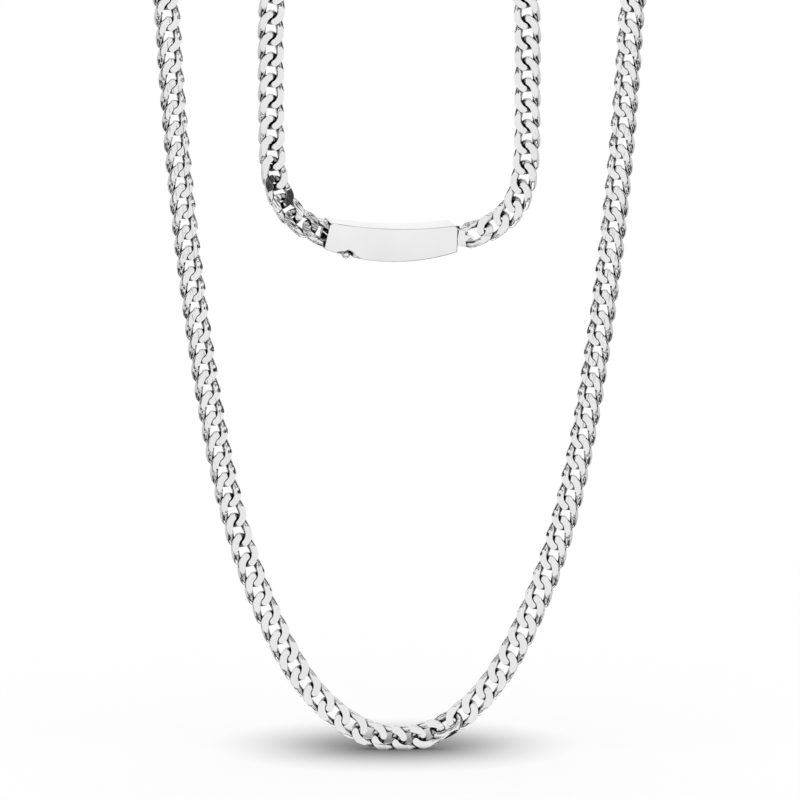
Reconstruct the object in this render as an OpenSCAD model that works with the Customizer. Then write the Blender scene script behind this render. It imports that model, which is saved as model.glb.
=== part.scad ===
// Curb chain necklace with a curved box clasp, hanging as one closed loop.
// Millimetres. X runs to the right, Z up, and the front faces -Y.
// The origin is midway between the two places where the chain hangs, on top of what carries it.

/* [Chain links] */
// Distance from the middle of one link to the middle of the next
link_pitch = 5; // [4.8:0.05:5.2]
// Diameter of the wire that a link is bent from
wire_d = 1.6; // [1.3:0.05:1.65]
// Play between two links that hook into each other
link_play = 0.25; // [0.2:0.01:0.3]
// Width between the middles of a link's two limbs
limb_spread = 4.4; // [4.2:0.05:4.6]
// Width of the chain over its two cut sides
chain_width = 5.4; // [5:0.05:5.8]
// Thickness of the chain between its cut front and back
chain_thickness = 2.4; // [2.1:0.05:2.6]
// Turn of a link's end out of the chain's plane, in degrees
link_turn = 55; // [50:1:60]

/* [Clasp box] */
// Length of the box along its chord
box_len = 33; // [30:0.5:36]
// Height of the box at its two ends
box_end_height = 6.8; // [6.4:0.1:7.6]
// Depth of the box from front to back
box_depth = 5.2; // [5:0.1:6]
// Wall of the box
box_wall = 0.45; // [0.35:0.05:0.55]
// Dip of the box's top edge in the middle
top_sag = 1.3; // [1:0.1:1.8]
// Drop of the box's bottom edge in the middle
bottom_sag = 2.7; // [2.2:0.1:3.2]
// Lean of each end face, in degrees
end_lean = 6; // [2:1:9]
// Size of the slopes at the box's two top corners
corner_slope = 1.1; // [0.8:0.1:1.4]
// Diameter of the bar that holds a chain end
bar_d = 0.55; // [0.45:0.05:0.7]
// Distance of the bar from the open end of the box
bar_inset = 0.6; // [0.5:0.05:0.9]

/* [Tongue] */
// Length of the ears that stand out of the box
ear_reach = 2.2; // [2:0.1:3]
// Height of the ears
ear_height = 4; // [3.4:0.1:4.4]
// Thickness of an ear
ear_wall = 0.4; // [0.35:0.05:0.5]
// Distance of the bar beyond the ears
lug_reach = 1.3; // [1:0.1:1.5]
// Diameter of the lugs that hold the bar
lug_d = 1.5; // [1.2:0.1:1.8]
// Thickness of the leaf inside the box
leaf_wall = 0.8; // [0.6:0.1:1]
// Length of the leaf inside the box
leaf_len = 25; // [20:0.5:27]
// Gap round the tongue inside the box
tongue_gap = 0.12; // [0.1:0.01:0.16]

/* [Release ball] */
// Diameter of the ball
ball_d = 2.1; // [1.8:0.05:2.4]
// Distance of the ball from the open end of the box
ball_from_end = 5.8; // [4.5:0.1:8.5]
// Gap between the ball and its notch
ball_gap = 0.3; // [0.25:0.05:0.4]
// Diameter of the neck above the ball
neck_d = 0.9; // [0.7:0.05:1.1]
// Length of the spring strip that carries the ball
strip_len = 6; // [5:0.25:7]
// Thickness of the spring strip
strip_wall = 0.4; // [0.3:0.05:0.5]

/* [Hidden] */
$fn = 64;
tiny = 0.01;
full_turn = 360;

// How far a cutting form reaches past what it cuts
over_cut = 1;

// Attitude of the clasp: its middle, then its turn about Z, X and Y, in degrees
clasp_middle = [-2.4, -1.6, -80.27];
clasp_yaw = 20;
clasp_pitch = 8;
clasp_tilt = 4.7;

// Route of one half of the chain, from past the bottom middle up the front drop, over the
// hanging place and down the back drop: distance from the middle, depth, height, roll, and
// how close the links lie there, where 1 is a full pitch
route_low = [
    [-17.5, 0, -194.2, 0, 0.95], [-8.9, 0, -200.2, -4, 0.95], [0, 0, -202.2, -4, 0.95],
    [8.9, 0, -200.2, 0, 1], [17.3, 0, -194.3, 6, 1], [23.4, 0, -186.9, 12, 1],
    [28.3, 0, -178.3, 18, 1], [35.4, 0, -161.3, 26, 1], [40.9, 0, -142, 30, 1],
    [45.6, 0, -117.2, 32, 1], [49.75, 0, -87.4, 32, 1], [52.35, 0, -62.6, 32, 1],
    [54, 0, -42.2, 32, 1], [54.9, 0, -27.5, 30, 1]];
route_high = [
    [55.9, 0, -19.4, 20, 1], [56.85, 0, -11.5, 11, 1], [54.95, 0, -4.4, 5, 1],
    [49.75, 0, 0.8, 2, 1], [42.65, 0, 2.7, 0, 1], [35.55, 0, 0.8, -2, 1],
    [30.35, 0, -4.4, -5, 1], [28.45, 0, -11.5, -9, 1], [29.4, 0, -19.4, -15, 1]];
route_back = [[30.4, 0, -27.5, -20, 1], [30.4, 0, -38.3, -22, 1], [30.35, -0.1, -50.8, -22, 1]];

// The last stretch of each half, down to the clasp
left_end = [
    [30.1, -2, -62.8, -22, 0.94], [29.4, -3.7, -67.6, -23, 0.93], [27.7, -5.3, -72, -24, 0.93],
    [24.7, -6.7, -75.7, -26, 0.94], [20.7, -7.5, -78.1, -29, 1]];
right_end = [
    [30.2, 0.6, -62.5, -20, 1], [28.9, 2, -71.3, -18, 1], [26.9, 3.3, -75.5, -17, 1],
    [23.2, 4.6, -79, -17, 1], [19.2, 5.3, -81.1, -18, 1]];
left_end_roll = -30;
right_end_roll = -20;

// How far in front of the box's middle the left chain end hangs on its bar
left_end_front = 0.6;

// Gap between the box's end and the wall that joins the ears
ear_gap = 0.2;

// How far the routes dip beyond the bars
route_dip = 1.5;

// How much lower the right half hangs over than the left one
right_top_drop = 0.75;

// Where the first link of each half lies, counted from the bottom middle up the half's own drop
first_link_offset = -12.55;
first_right_offset = 16.75;
steps_per_stretch = 10;

// Roll of the plain link that joins the two hands of twist
plain_link_roll = 45;

// Form of a link: how square its oval is, how fast it turns, and its rings and sides
link_squareness = 3.1;
turn_rise = 1.15;
tangent_step = 2;
link_rings = 10;
wire_sides = 6;
half_mid_len = (link_pitch + wire_d + link_play) / 2;
half_mid_width = limb_spread / 2;

// Clasp values that follow from the sizes above
half_box = box_len / 2;
half_height = box_end_height / 2;
half_depth = box_depth / 2;
top_radius = (half_box * half_box + top_sag * top_sag) / (2 * top_sag);
bottom_radius = (half_box * half_box + bottom_sag * bottom_sag) / (2 * bottom_sag);
top_centre = half_height - top_sag + top_radius;
bottom_centre = -half_height - bottom_sag + bottom_radius;
cavity_half_depth = half_depth - box_wall;
ear_half_depth = cavity_half_depth - tongue_gap;
ball_from_middle = half_box - ball_from_end;
bar_reach = half_mid_len - (wire_d + bar_d) / 2 - link_play;
left_bar_x = -half_box + bar_inset;
ear_end = half_box + ear_reach;
right_bar_x = ear_end + lug_reach;
ear_root = half_box + ear_gap;

// Vector helpers
function unit(v) = v / norm(v);
function turn_x(p, a) = [p.x, p.y * cos(a) - p.z * sin(a), p.y * sin(a) + p.z * cos(a)];
function turn_y(p, a) = [p.x * cos(a) + p.z * sin(a), p.y, -p.x * sin(a) + p.z * cos(a)];
function turn_z(p, a) = [p.x * cos(a) - p.y * sin(a), p.x * sin(a) + p.y * cos(a), p.z];
function clasp_point(p) =
    clasp_middle + turn_z(turn_x(turn_y(p, clasp_tilt), clasp_pitch), clasp_yaw);

// Heights of the box's outline at a distance from its middle
function top_edge(x) = top_centre - sqrt(top_radius * top_radius - x * x);
function bottom_edge(x) = bottom_centre - sqrt(bottom_radius * bottom_radius - x * x);
function middle_line(x) = (top_edge(x) + bottom_edge(x)) / 2;

left_bar_z = middle_line(left_bar_x);
right_bar_z = middle_line(half_box);
left_bar = clasp_point([left_bar_x, -left_end_front, left_bar_z]);
right_bar = clasp_point([right_bar_x, 0, right_bar_z]);

// The route runs on into the clasp, so that a link next to a bar is set as the others are
left_inner = clasp_point([left_bar_x + 2 * link_pitch, -2 * left_end_front, left_bar_z - route_dip]);
right_inner = clasp_point([right_bar_x - 2 * link_pitch, 0, right_bar_z - route_dip]);

// A smooth curve through the route's points
function between(a, b, c, d, t) =
    0.5 * (2 * b + (c - a) * t + (2 * a - 5 * b + 4 * c - d) * t * t
    + (3 * b - a - 3 * c + d) * t * t * t);
function route_at(list, i, t) =
    let (last = len(list) - 1)
    between(list[max(i - 1, 0)], list[i], list[min(i + 1, last)], list[min(i + 2, last)], t);
function dense(list) = [
    for (i = [0:len(list) - 2]) for (k = [0:steps_per_stretch - 1])
        route_at(list, i, k / steps_per_stretch),
    list[len(list) - 1]];
function place(row) = [row[0], row[1], row[2]];
function lengths(rows) = [
    for (i = 0, s = 0; i < len(rows);
        s = s + norm(place(rows[min(i + 1, len(rows) - 1)]) - place(rows[i])) / rows[i][4],
        i = i + 1) s];
function column(rows, marks, c) = [for (i = [0:len(rows) - 1]) [marks[i], rows[i][c]]];

// Both halves run from right to left in a frame of their own, so x is negative up the drops
function outward(p, side, roll) = [side * p.x, p.y, p.z, roll, 1];
function lowered(list, drop) = [for (r = list) [r[0], r[1], r[2] - drop, r[3], r[4]]];
function half_rows(drop, ending, side, bar, inner, roll) =
    dense([for (r = concat(route_low, lowered(route_high, drop), route_back, ending,
            [outward(bar, side, roll), outward(inner, side, roll)]))
        [-r[0], r[1], r[2], r[3], r[4]]]);
left_rows = half_rows(0, left_end, -1, left_bar, left_inner, left_end_roll);
right_rows = half_rows(right_top_drop, right_end, 1, right_bar, right_inner, right_end_roll);

// Middle line of a link: an oval whose limbs turn about the chain's length
function oval(t) =
    pow(pow(abs(cos(t)), link_squareness) + pow(abs(sin(t)), link_squareness), -1 / link_squareness);
function turn_at(u) =
    link_turn * sign(u) * sin(90 * pow(min(1, abs(u) / half_mid_len), turn_rise));
function mid_point(t, turned) =
    let (u = half_mid_len * cos(t) * oval(t), w = half_mid_width * sin(t) * oval(t),
        a = turned ? turn_at(u) : 0)
    [w * cos(a), w * sin(a), u];
function cut(v, limit) = max(-limit, min(limit, v));

// Points of one link: rings of the wire's section, cut flat in front, behind and at both sides
function link_points(turned) = [
    for (i = [0:link_rings - 1])
        let (t = full_turn * (i + 0.5) / link_rings, mid = mid_point(t, turned),
            along = unit(mid_point(t + tangent_step, turned) - mid_point(t - tangent_step, turned)),
            a = turned ? turn_at(mid.z) : 0,
            across = unit(cross(along, [-sin(a), cos(a), 0])),
            over = cross(across, along))
        for (j = [0:wire_sides - 1])
            let (b = full_turn * (j + 0.5) / wire_sides,
                p = mid + wire_d / 2 * (cos(b) * across + sin(b) * over))
            [cut(p.x, chain_width / 2), cut(p.y, chain_thickness / 2), p.z]];
link_faces = [
    for (i = [0:link_rings - 1]) for (j = [0:wire_sides - 1])
        let (n = (i + 1) % link_rings, m = (j + 1) % wire_sides)
        for (f = [
            [i * wire_sides + j, i * wire_sides + m, n * wire_sides + m],
            [i * wire_sides + j, n * wire_sides + m, n * wire_sides + j]]) f];
turned_link = link_points(true);
plain_link = link_points(false);

// One link, set on the route: z of the link along the chain, y to its back
module link_on(centre, along, roll, points) {
    front = unit([0, -1, 0] + along * along.y);
    side = cross(along, front);
    back = -(front * cos(roll) + side * sin(roll));
    across = cross(back, along);
    polyhedron([for (p = points) centre + p.x * across + p.y * back + p.z * along], link_faces);
}

// The route is smoothed over a pitch to both sides, so that it has no sudden bends
function smooth_at(s, table) =
    (lookup(s - link_pitch, table) + 2 * lookup(s, table) + lookup(s + link_pitch, table)) / 4;
function point_at(s, tables) = [for (t = tables) smooth_at(s, t)];

// One half of the chain: links at even steps from the first one to the bar in the clasp
module half_chain(rows, first, plain_first) {
    marks = lengths(rows);
    tables = [for (c = [0:2]) column(rows, marks, c)];
    rolls = column(rows, marks, 3);
    start = marks[2 * steps_per_stretch] + first;
    end = marks[len(marks) - 1 - steps_per_stretch] - bar_reach;
    steps = round((end - start) / link_pitch);
    step = (end - start) / steps;
    for (k = [0:steps]) {
        s = start + k * step;
        ahead = point_at(s + step / 2, tables);
        behind = point_at(s - step / 2, tables);
        plain = plain_first && k == 0;
        link_on(point_at(s, tables), unit(ahead - behind),
            smooth_at(s, rolls) + (plain ? plain_link_roll : 0),
            plain ? plain_link : turned_link);
    }
}

// Left half: runs on past the bottom middle to the plain link that joins the two hands of twist
module chain_left() {
    color("silver") half_chain(left_rows, first_link_offset, true);
}

// Right half: links of the other hand, from the plain link up to the tongue
module chain_right() {
    color("silver") mirror([1, 0, 0])
        half_chain(right_rows, first_right_offset, false);
}

// Things drawn in the clasp's own frame, x along it and y to the back
module in_clasp() {
    translate(clasp_middle) rotate([0, 0, clasp_yaw]) rotate([clasp_pitch, 0, 0])
        rotate([0, clasp_tilt, 0]) children();
}

module rod_y(d, from, to) {
    translate([0, from, 0]) rotate([-90, 0, 0]) cylinder(d = d, h = to - from);
}

// Curved bar of the box's outline, made thinner all round by a wall
module curved_block(wall, depth, reach) {
    intersection() {
        difference() {
            translate([0, 0, bottom_centre]) rod_y(2 * (bottom_radius - wall), -depth, depth);
            translate([0, 0, top_centre])
                rod_y(2 * (top_radius + wall), -depth - over_cut, depth + over_cut);
        }
        translate([-reach, -depth - over_cut, -box_len])
            cube([2 * reach, 2 * (depth + over_cut), 2 * box_len]);
    }
}

// What lies beyond a leaning end face
module end_cut(side) {
    translate([side * half_box, 0, 0]) rotate([0, -side * end_lean, 0])
        translate([side > 0 ? 0 : -box_len, -box_depth, -box_len])
            cube([box_len, 2 * box_depth, 2 * box_len]);
}

// What lies beyond the slope at a top corner
module corner_cut(side) {
    translate([side * (half_box - corner_slope), 0, top_edge(half_box)])
        rotate([0, side * 45, 0]) translate([-box_depth, -box_depth, 0])
            cube(2 * box_depth);
}

// Box: a curved tube open at both ends, with a bar at the left and a notch for the ball
module clasp_box() {
    color("gainsboro") in_clasp() {
        difference() {
            curved_block(0, half_depth, half_box + over_cut);
            curved_block(box_wall, cavity_half_depth, half_box + 2 * over_cut);
            end_cut(1);
            end_cut(-1);
            corner_cut(1);
            corner_cut(-1);
            translate([-ball_from_middle, 0, ball_height])
                rod_y(notch_d, -half_depth - over_cut, notch_back);
        }
        translate([left_bar_x, 0, left_bar_z])
            rod_y(bar_d, -cavity_half_depth - tiny, cavity_half_depth + tiny);
    }
}

// Where the ball lies: at the bottom edge, near the front
notch_d = ball_d + 2 * ball_gap;
ball_height = bottom_edge(ball_from_middle) + ball_gap / 2;
ball_depth = -cavity_half_depth + ball_d / 2 + tongue_gap;
notch_back = ball_depth + notch_d / 2;
strip_height = bottom_edge(ball_from_middle + strip_len / 2) + box_wall + ball_gap
    + strip_wall / 2;
strip_half_depth = cavity_half_depth - ball_gap;

// Tongue: two ears with lugs and a bar outside, and a curved leaf that slides into the box
module clasp_tongue() {
    color("gainsboro") in_clasp() {
        for (side = [-1, 1]) tongue_ear(side > 0 ? ear_half_depth - ear_wall : -ear_half_depth);
        translate([ear_root, -ear_half_depth, right_bar_z - ear_height / 2])
            cube([ear_wall, 2 * ear_half_depth, ear_height]);
        translate([right_bar_x, 0, right_bar_z])
            rod_y(bar_d, -ear_half_depth + tiny, ear_half_depth - tiny);
        tongue_leaf();
    }
}

module tongue_ear(y) {
    difference() {
        translate([ear_root, y, right_bar_z - ear_height / 2])
            cube([2 * ear_reach, ear_wall, ear_height]);
        translate([ear_end, y - over_cut, right_bar_z]) rotate([0, -2 * end_lean, 0])
            translate([0, 0, -ear_height])
                cube([2 * ear_reach, ear_wall + 2 * over_cut, 2 * ear_height]);
    }
    translate([ear_root, y, right_bar_z - lug_d / 2])
        cube([right_bar_x - ear_root, ear_wall, lug_d]);
    translate([right_bar_x, 0, right_bar_z]) rod_y(lug_d, y, y + ear_wall);
}

leaf_radius = (top_radius + bottom_radius) / 2;
leaf_centre = middle_line(0) + leaf_radius;

module tongue_leaf() {
    intersection() {
        difference() {
            translate([0, 0, leaf_centre])
                rod_y(2 * leaf_radius + leaf_wall, -ear_half_depth, ear_half_depth);
            translate([0, 0, leaf_centre])
                rod_y(2 * leaf_radius - leaf_wall, -half_depth, half_depth);
        }
        translate([ear_root - leaf_len, -half_depth, -box_end_height])
            cube([leaf_len + ear_wall / 2, box_depth, 2 * box_end_height]);
    }
}

// Ball with its neck and the spring strip that keeps it in the box
module release_ball() {
    color("gainsboro") in_clasp() translate([-ball_from_middle, 0, 0]) {
        translate([0, ball_depth, ball_height]) sphere(d = ball_d);
        translate([0, ball_depth, ball_height]) cylinder(d = neck_d, h = strip_height - ball_height);
        translate([-strip_len / 2, -strip_half_depth, strip_height - strip_wall / 2])
            cube([strip_len, 2 * strip_half_depth, strip_wall]);
    }
}

chain_left();
chain_right();
clasp_box();
clasp_tongue();
release_ball();
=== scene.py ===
import math

import bmesh
import bpy
import numpy as np
from mathutils import Matrix, Vector


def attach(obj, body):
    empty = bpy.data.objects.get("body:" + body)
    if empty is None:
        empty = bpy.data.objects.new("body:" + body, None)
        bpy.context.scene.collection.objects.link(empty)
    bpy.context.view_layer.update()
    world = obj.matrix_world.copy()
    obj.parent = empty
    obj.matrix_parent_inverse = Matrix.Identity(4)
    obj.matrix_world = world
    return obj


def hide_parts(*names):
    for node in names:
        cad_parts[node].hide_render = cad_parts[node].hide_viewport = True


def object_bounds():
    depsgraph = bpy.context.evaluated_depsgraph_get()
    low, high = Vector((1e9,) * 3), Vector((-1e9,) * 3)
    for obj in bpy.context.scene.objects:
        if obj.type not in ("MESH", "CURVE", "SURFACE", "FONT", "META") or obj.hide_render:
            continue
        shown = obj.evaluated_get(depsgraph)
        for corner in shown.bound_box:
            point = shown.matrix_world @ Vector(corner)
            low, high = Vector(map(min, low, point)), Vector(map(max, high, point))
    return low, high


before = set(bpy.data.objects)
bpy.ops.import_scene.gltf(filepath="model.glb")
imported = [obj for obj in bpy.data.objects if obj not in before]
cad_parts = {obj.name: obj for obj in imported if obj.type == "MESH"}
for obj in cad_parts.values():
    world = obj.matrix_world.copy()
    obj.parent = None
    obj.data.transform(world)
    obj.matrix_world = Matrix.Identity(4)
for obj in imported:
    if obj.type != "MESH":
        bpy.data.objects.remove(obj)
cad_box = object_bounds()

MM = 0.001

# Photograph: its width in pixels, millimetres per pixel, the camera's elevation, and the point in
# the middle of the picture; then the camera's distance and sensor in millimetres, and its reach in metres
IMAGE_WIDTH = 800
PX = 0.237
ELEVATION = 10
AIM = (0.17, 0, -120.36)
CAMERA_FAR = 8000
SENSOR = 36
CLIP_END = 100

# One link in millimetres and degrees: fuller, rounder and finer than in the part's source
PITCH = 5.0
PLAY = 0.12
SPREAD = 4.6            # between the middles of the two limbs
CHAIN_WIDTH = 5.95      # between the cut sides
CHAIN_THICK = 2.1       # between the cut front and back
WIRE = 1.66             # across the wire at a link's ends
LIMB = 2.05             # across the wire beside the window
FRONT_TO_BACK = 2.05    # through the wire beside the window
SWELL_REACH = 2.8       # how far from the link's middle that section fades
DIVE = 0.75             # how far a limb leaves the chain's middle plane
DIVE_START = 2.6        # where along the link it is all the way out
DIVE_END = 0.6          # the same across the link, as a share of its half width
PINCH = 0.6             # how much narrower a link gets toward its ends
PINCH_POWER = 2.9
TILT = 3.8              # lean of the whole link
ROLL = 46               # turn of the wire's section toward the ends
SQUARE = 5.0            # how square the link's oval is
RINGS = 54
SIDES = 18
EDGE = 0.11             # bevel of the cut faces
OVAL_STEP = 0.01        # step along the oval that gives the wire's direction
CUT_SNAP = 1e-5         # corners this near to a cut lie on it
LINK_MERGE = 0.004      # corners nearer than this become one
CUT_CORNER = 24         # edges sharper than this are bevelled
LINK_SMOOTH = 28        # faces that meet at less are shaded as one
CUT_NORMAL = 0.9995     # a face whose normal is this near to an axis is a cut and shaded flat

# Reading the CAD links, in metres: merging of their corners, and the half depth below which one is plain
CAD_LINK_MERGE = 2e-6
PLAIN_HALF_DEPTH = 0.0009

# Clasp: rounding of its edges in millimetres, merging in metres, and angles in degrees
BOX_ROUND = 0.28
TONGUE_ROUND = 0.08
CLASP_MERGE = 2e-5
CLASP_FLAT = 0.4        # faces that meet at less are one
CLASP_CORNER = 28       # edges sharper than this are rounded
CLASP_SMOOTH = 32       # faces that meet at less are shaded as one

# Faint clouds in the metal's tone: how many per metre, and the part of the noise that they use
CLOUD_SCALE = 70.0
CLOUD_RANGE = (0.3, 0.7)

# Shade painted into the metals' colour in their crevices: rays for each point, and the openness where the
# painted shade begins and ends
SHADE_PAINT_RAYS = 12
SHADE_PAINT_RANGE = (0.32, 0.82)

# Faint streaks of the polish along each link: how many waves per millimetre across, the same along
# the link as a share of that, how deep in millimetres, and their shift from link to link
WAVE_SCALE = 1.8
WAVE_LONG = 0.12
WAVE_DEEP = 0.08
WAVE_SHIFT = 7.3

# Soft contact shadow on the floor, in millimetres: its middle, how far it reaches, and its grey at
# shares of that reach, the two ends first; then half the floor's side in metres
SHADOW_AT = (-1, 5)
SHADOW_REACH = (44, 37)
SHADOW_FALL = ((0, 0.12), (1, 0.8), (0.33, 0.3), (0.65, 0.64))
FLOOR_HALF = 12.0

# Studio that only reflections see. Its wide patches are a direction, the angles where the soft edge
# begins and ends, and a brightness. Then come rings overhead and underneath, from the outside in:
# outer angle and brightness. Later ones lie over earlier ones.
STRENGTH = 1.3
DARK = 0.02
VIEW_UP = math.radians(ELEVATION)
MIRROR = (0, -math.cos(VIEW_UP), -math.sin(VIEW_UP))
WIDE = (((0, 1, 0), 66, 76, 0.55), ((0, 0.9, 0.44), 14, 24, 0.76), (MIRROR, 68, 76, 0.74))
OVERHEAD = ((46, 0.02), (40, 0.85), (35, 0.02), (30, 0.85), (26, 0.1), (22, 0.8))
UNDER = ((62, 0.05), (57, 0.8), (52, 0.05), (47, 0.8), (42, 0.03), (26, 0.95))
RINGS_ROUND = (((0, -0.25, 1), OVERHEAD), ((0, 0, -1), UNDER))
RING_EDGE = 2
MIX_A, MIX_B = 6, 7     # the colour sockets of a Mix node


# ---------------------------------------------------------------- helpers
def new_material(name):
    mat = bpy.data.materials.new(name)
    mat.use_nodes = True
    mat.node_tree.nodes.clear()
    return mat, mat.node_tree


def node(tree, kind, inputs=None, **settings):
    made = tree.nodes.new(kind)
    for key, value in settings.items():
        setattr(made, key, value)
    for key, value in (inputs or {}).items():
        made.inputs[key].default_value = value
    return made


def new_object(name, mesh, material):
    mesh.materials.append(material)
    obj = bpy.data.objects.new(name, mesh)
    bpy.context.collection.objects.link(obj)
    return obj


def sharp_edges(bm, degrees):
    limit = math.radians(degrees)
    return [e for e in bm.edges if len(e.link_faces) == 2 and e.calc_face_angle(0) > limit]


def split_large_faces(bm):
    bmesh.ops.triangulate(bm, faces=[f for f in bm.faces if len(f.verts) > 4])


# ---------------------------------------------------------------- materials
def metal(name, bright, rough, reach, painted_shade_low, cloud=0.0, wave=0.0):
    """Polished metal, its colour lowered by painted shade in the crevices, with faint clouds and, where
    wave is given, streaks.
    """
    mat, tree = new_material(name)
    link = tree.links.new
    out = node(tree, "ShaderNodeOutputMaterial")
    bsdf = node(tree, "ShaderNodeBsdfPrincipled", {"Metallic": 1.0, "Roughness": rough})
    link(bsdf.outputs["BSDF"], out.inputs["Surface"])
    place = node(tree, "ShaderNodeTexCoord")
    noise = node(tree, "ShaderNodeTexNoise", {"Scale": CLOUD_SCALE, "Detail": 1.0})
    link(place.outputs["Object"], noise.inputs["Vector"])
    tone = node(tree, "ShaderNodeMapRange", {"From Min": CLOUD_RANGE[0], "From Max": CLOUD_RANGE[1],
                                             "To Min": bright - cloud, "To Max": bright})
    link(noise.outputs["Fac"], tone.inputs["Value"])
    # Painted shade: ambient occlusion lowers the base colour in crevices toward the given low tone
    shade = node(tree, "ShaderNodeAmbientOcclusion", {"Distance": reach * MM}, samples=SHADE_PAINT_RAYS)
    painted_shade = node(tree, "ShaderNodeMapRange", {"From Min": SHADE_PAINT_RANGE[0], "From Max": SHADE_PAINT_RANGE[1],
                                             "To Min": painted_shade_low}, interpolation_type="SMOOTHSTEP")
    link(tone.outputs["Result"], painted_shade.inputs["To Max"])
    link(shade.outputs["AO"], painted_shade.inputs["Value"])
    link(painted_shade.outputs["Result"], bsdf.inputs["Base Color"])
    if wave:
        own = node(tree, "ShaderNodeAttribute", attribute_name="link_place")
        longer = node(tree, "ShaderNodeMapping", {"Scale": (1, 1, WAVE_LONG)})
        uneven = node(tree, "ShaderNodeTexNoise", {"Scale": WAVE_SCALE, "Detail": 1.0})
        bump = node(tree, "ShaderNodeBump", {"Distance": wave * MM})
        link(own.outputs["Vector"], longer.inputs["Vector"])
        link(longer.outputs["Vector"], uneven.inputs["Vector"])
        link(uneven.outputs["Fac"], bump.inputs["Height"])
        link(bump.outputs["Normal"], bsdf.inputs["Normal"])
    return mat


# Each metal has shade painted into its crevices, down to its given low tone
chain_metal = metal("polished_chain", bright=0.87, rough=0.08, reach=2.0, painted_shade_low=0.02, cloud=0.05,
                    wave=WAVE_DEEP)
clasp_metal = metal("polished_clasp", bright=0.93, rough=0.12, reach=2.0, painted_shade_low=0.02, cloud=0.07)
ball_metal = metal("satin_ball", bright=0.95, rough=0.35, reach=1.0, painted_shade_low=0.25)


# ---------------------------------------------------------------- links
def oval(t):
    return (abs(math.cos(t)) ** SQUARE + abs(math.sin(t)) ** SQUARE) ** (-1 / SQUARE)


def eased(value, full):
    return math.copysign(math.sin(math.pi / 2 * min(1, abs(value) / full)), value)


def wire_middle(t, hand):
    """Point of the wire's middle line at the angle t round the link."""
    half_len = (PITCH + WIRE + PLAY) / 2
    half_width = SPREAD / 2
    u = half_len * math.cos(t) * oval(t)
    w = half_width * math.sin(t) * oval(t)
    x = w * (1 - PINCH * (abs(u) / half_len) ** PINCH_POWER)
    y = DIVE * eased(u, DIVE_START) * eased(w / half_width, DIVE_END)
    return Vector((x, hand * y, u))


def link_mesh(hand):
    """One link about its own middle: x across the chain, y to its back, z along it.

    hand is 1 for the left half's links, -1 for the right half's, and 0 for the plain link.
    """
    bm = bmesh.new()
    rings = []
    for i in range(RINGS):
        t = 2 * math.pi * (i + 0.5) / RINGS
        mid = wire_middle(t, hand)
        along = (wire_middle(t + OVAL_STEP, hand) - wire_middle(t - OVAL_STEP, hand)).normalized()
        across = along.cross(Vector((0, -1, 0))).normalized()
        over = across.cross(along)
        roll = hand * math.radians(ROLL) * eased(mid.z, DIVE_START) * math.copysign(1, along.z)
        across, over = (math.cos(roll) * across + math.sin(roll) * over,
                        math.cos(roll) * over - math.sin(roll) * across)
        swell = math.exp(-(mid.z / SWELL_REACH) ** 2)
        wide = WIRE + (LIMB - WIRE) * swell
        deep = WIRE + (FRONT_TO_BACK - WIRE) * swell
        ring = []
        for j in range(SIDES):
            b = 2 * math.pi * (j + 0.5) / SIDES
            ring.append(bm.verts.new(mid + wide / 2 * math.cos(b) * across
                                     + deep / 2 * math.sin(b) * over))
        rings.append(ring)
    tilt = Matrix.Rotation(-hand * math.radians(TILT), 3, "Y")
    bmesh.ops.rotate(bm, verts=bm.verts, matrix=tilt, cent=(0, 0, 0))
    for i in range(RINGS):
        here, there = rings[i], rings[(i + 1) % RINGS]
        for j in range(SIDES):
            k = (j + 1) % SIDES
            bm.faces.new((here[j], here[k], there[k], there[j]))
    bmesh.ops.recalc_face_normals(bm, faces=bm.faces)
    for normal, limit in (((0, -1, 0), CHAIN_THICK / 2), ((0, 1, 0), CHAIN_THICK / 2),
                          ((1, 0, 0), CHAIN_WIDTH / 2), ((-1, 0, 0), CHAIN_WIDTH / 2)):
        n = Vector(normal)
        cut = bmesh.ops.bisect_plane(bm, geom=bm.verts[:] + bm.edges[:] + bm.faces[:], dist=CUT_SNAP,
                                     plane_co=n * limit, plane_no=n, clear_outer=True)
        rim = [e for e in cut["geom_cut"] if isinstance(e, bmesh.types.BMEdge)]
        bmesh.ops.holes_fill(bm, edges=rim, sides=0)
    bmesh.ops.remove_doubles(bm, verts=bm.verts, dist=LINK_MERGE)
    bmesh.ops.dissolve_degenerate(bm, edges=bm.edges, dist=LINK_MERGE)
    bmesh.ops.bevel(bm, geom=sharp_edges(bm, CUT_CORNER), offset=EDGE, offset_type="OFFSET", segments=1,
                    affect="EDGES", profile=0.5, clamp_overlap=True)
    bmesh.ops.recalc_face_normals(bm, faces=bm.faces)
    split_large_faces(bm)
    return bm


def as_arrays(bm):
    """Points, faces, which faces are round, and the number of triangles."""
    bm.verts.index_update()
    points = np.array([v.co[:] for v in bm.verts])
    bm.normal_update()
    polys = [tuple(v.index for v in f.verts) for f in bm.faces]
    is_round = [max(abs(f.normal.x), abs(f.normal.y)) < CUT_NORMAL for f in bm.faces]
    triangles = sum(len(p) - 2 for p in polys)
    bm.free()
    return points, polys, is_round, triangles


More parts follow.
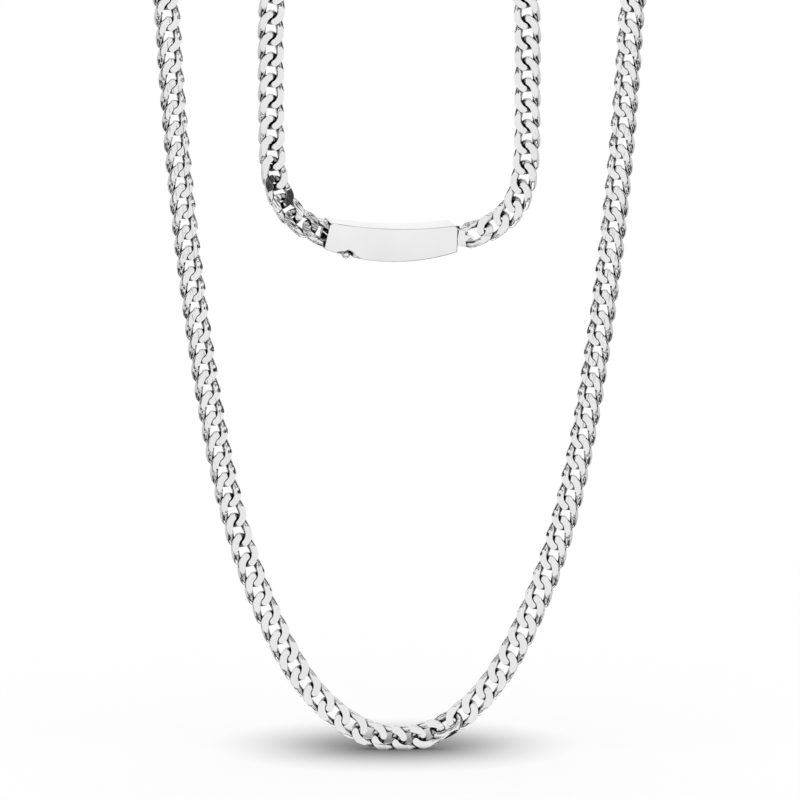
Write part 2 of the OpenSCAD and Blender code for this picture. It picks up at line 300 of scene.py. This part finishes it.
def link_frames(obj):
    """Middle, axes and half depth of each link of a CAD node, from the corners of its loose parts."""
    bm = bmesh.new()
    bm.from_mesh(obj.data)
    bmesh.ops.remove_doubles(bm, verts=bm.verts, dist=CAD_LINK_MERGE)
    bm.verts.ensure_lookup_table()
    seen = set()
    found = []
    for start in bm.verts:
        if start.index in seen:
            continue
        stack, part = [start], []
        seen.add(start.index)
        while stack:
            vert = stack.pop()
            part.append(vert.co[:])
            for edge in vert.link_edges:
                other = edge.other_vert(vert)
                if other.index not in seen:
                    seen.add(other.index)
                    stack.append(other)
        points = np.array(part)
        centre = points.mean(axis=0)
        axes = np.linalg.eigh(np.cov((points - centre).T))[1]
        back, across, along = axes[:, 0], axes[:, 1], axes[:, 2]
        if np.dot(np.cross(across, back), along) < 0:
            back = -back
        half_depth = np.abs((points - centre) @ back).max()
        found.append((centre, np.stack([across, back, along], axis=0), half_depth))
    bm.free()
    return found


def join_links(name, placed):
    """One mesh of all links: placed holds (points, faces, which are round, centre, axes)."""
    verts, own, faces, smooth, count = [], [], [], [], 0
    for k, (points, polys, is_round, centre, axes) in enumerate(placed):
        verts.append(points * MM @ axes + centre)
        own.append(points + WAVE_SHIFT * k)
        faces.extend([tuple(i + count for i in p) for p in polys])
        smooth.extend(is_round)
        count += len(points)
    mesh = bpy.data.meshes.new(name)
    mesh.from_pydata(np.concatenate(verts).tolist(), [], faces)
    mesh.polygons.foreach_set("use_smooth", smooth)
    mesh.set_sharp_from_angle(angle=math.radians(LINK_SMOOTH))
    places = mesh.attributes.new("link_place", "FLOAT_VECTOR", "POINT")
    places.data.foreach_set("vector", np.concatenate(own).ravel())
    return new_object(name, mesh, chain_metal)


plain = as_arrays(link_mesh(0))
for cad_name, hand in (("chain_left", 1), ("chain_right", -1)):
    twisted = as_arrays(link_mesh(hand))
    placed = []
    for centre, axes, half_depth in link_frames(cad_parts[cad_name]):
        shape = plain if half_depth < PLAIN_HALF_DEPTH else twisted
        placed.append((*shape[:3], centre, axes))
    piece = join_links(cad_name + "_links", placed)
    print(cad_name, len(placed), "links,", twisted[3], "triangles each")
    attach(piece, "necklace")
    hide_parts(cad_name)


# ---------------------------------------------------------------- clasp
def rounded_copy(cad_name, radius, segments, material):
    """The CAD node again, with its sharp edges rounded."""
    bm = bmesh.new()
    bm.from_mesh(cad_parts[cad_name].data)
    bmesh.ops.remove_doubles(bm, verts=bm.verts, dist=CLASP_MERGE)
    bmesh.ops.dissolve_limit(bm, angle_limit=math.radians(CLASP_FLAT), verts=bm.verts, edges=bm.edges)
    bmesh.ops.bevel(bm, geom=sharp_edges(bm, CLASP_CORNER), offset=radius * MM, offset_type="OFFSET",
                    segments=segments, affect="EDGES", profile=0.5, clamp_overlap=False)
    split_large_faces(bm)
    mesh = bpy.data.meshes.new(cad_name + "_fine")
    bm.to_mesh(mesh)
    bm.free()
    mesh.polygons.foreach_set("use_smooth", [True] * len(mesh.polygons))
    mesh.set_sharp_from_angle(angle=math.radians(CLASP_SMOOTH))
    obj = new_object(cad_name + "_fine", mesh, material)
    weigh = obj.modifiers.new("weighted", "WEIGHTED_NORMAL")
    weigh.keep_sharp = True
    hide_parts(cad_name)
    return obj


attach(rounded_copy("clasp_box", BOX_ROUND, 3, clasp_metal), "necklace")
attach(rounded_copy("clasp_tongue", TONGUE_ROUND, 2, clasp_metal), "necklace")
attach(rounded_copy("release_ball", TONGUE_ROUND, 2, ball_metal), "release")


# ---------------------------------------------------------------- floor
def floor_material(low):
    """Pale floor with a soft oval shadow, darkest in its middle."""
    mat, tree = new_material("white_floor")
    link = tree.links.new
    out = node(tree, "ShaderNodeOutputMaterial")
    diffuse = node(tree, "ShaderNodeBsdfDiffuse")
    place = node(tree, "ShaderNodeTexCoord")
    spot = node(tree, "ShaderNodeMapping", vector_type="TEXTURE")
    spot.inputs["Location"].default_value = (SHADOW_AT[0] * MM, SHADOW_AT[1] * MM, low)
    spot.inputs["Scale"].default_value = (SHADOW_REACH[0] * MM, SHADOW_REACH[1] * MM, 1)
    far = node(tree, "ShaderNodeVectorMath", operation="LENGTH")
    fall = node(tree, "ShaderNodeValToRGB")
    fall.color_ramp.interpolation = "B_SPLINE"
    for k, (position, grey) in enumerate(SHADOW_FALL):
        stop = fall.color_ramp.elements[k] if k < 2 else fall.color_ramp.elements.new(position)
        stop.position = position
        stop.color = (grey, grey, grey, 1)
    link(place.outputs["Object"], spot.inputs["Vector"])
    link(spot.outputs["Vector"], far.inputs[0])
    link(far.outputs["Value"], fall.inputs["Fac"])
    link(fall.outputs["Color"], diffuse.inputs["Color"])
    link(diffuse.outputs["BSDF"], out.inputs["Surface"])
    return mat


low = min(v[2] for v in cad_box)
mesh = bpy.data.meshes.new("floor")
corners = [(x * FLOOR_HALF, y * FLOOR_HALF, low) for x, y in ((-1, -1), (1, -1), (1, 1), (-1, 1))]
mesh.from_pydata(corners, [], [(0, 1, 2, 3)])
floor = new_object("floor", mesh, floor_material(low))
floor.visible_glossy = False

# ---------------------------------------------------------------- light
world = bpy.data.worlds.new("studio")
bpy.context.scene.world = world
world.use_nodes = True
tree = world.node_tree
tree.nodes.clear()
out = node(tree, "ShaderNodeOutputWorld")
back = node(tree, "ShaderNodeBackground", {"Strength": STRENGTH})
tree.links.new(back.outputs["Background"], out.inputs["Surface"])
coord = node(tree, "ShaderNodeTexCoord")


def blend(factor, below, above):
    """The brightness below where factor is 0, and above where it is 1."""
    made = node(tree, "ShaderNodeMapRange", {"To Max": above})
    tree.links.new(factor, made.inputs["Value"])
    if isinstance(below, float):
        made.inputs["To Min"].default_value = below
    else:
        tree.links.new(below, made.inputs["To Min"])
    return made.outputs["Result"]


def patch(direction, inner, outer):
    """1 within the angle inner of a direction, 0 beyond outer, in degrees."""
    dot = node(tree, "ShaderNodeVectorMath", operation="DOT_PRODUCT")
    dot.inputs[1].default_value = Vector(direction).normalized()
    tree.links.new(coord.outputs["Generated"], dot.inputs[0])
    span = node(tree, "ShaderNodeMapRange", {"From Min": math.cos(math.radians(outer)),
                                             "From Max": math.cos(math.radians(inner))},
                interpolation_type="SMOOTHSTEP")
    tree.links.new(dot.outputs["Value"], span.inputs["Value"])
    return span.outputs["Result"]


light = DARK
for direction, inner, outer, tone in WIDE:
    light = blend(patch(direction, inner, outer), light, tone)
for direction, rings in RINGS_ROUND:
    for outer, tone in rings:
        light = blend(patch(direction, outer - RING_EDGE, outer), light, tone)
path = node(tree, "ShaderNodeLightPath")
mix = node(tree, "ShaderNodeMix", data_type="RGBA")
tree.links.new(path.outputs["Is Glossy Ray"], mix.inputs["Factor"])
mix.inputs[MIX_A].default_value = (1, 1, 1, 1)
tree.links.new(light, mix.inputs[MIX_B])
tree.links.new(mix.outputs[2], back.inputs["Color"])

# ---------------------------------------------------------------- camera
data = bpy.data.cameras.new("camera")
data.sensor_width = SENSOR
data.lens = SENSOR * CAMERA_FAR / (IMAGE_WIDTH * PX)
data.clip_end = CLIP_END
camera = bpy.data.objects.new("camera", data)
away = Vector((0, -math.cos(VIEW_UP), math.sin(VIEW_UP)))
camera.location = Vector(AIM) * MM + CAMERA_FAR * MM * away
camera.rotation_euler = (math.pi / 2 - VIEW_UP, 0, 0)
bpy.context.collection.objects.link(camera)
bpy.context.scene.camera = camera
bpy.context.scene.view_settings.view_transform = "Standard"
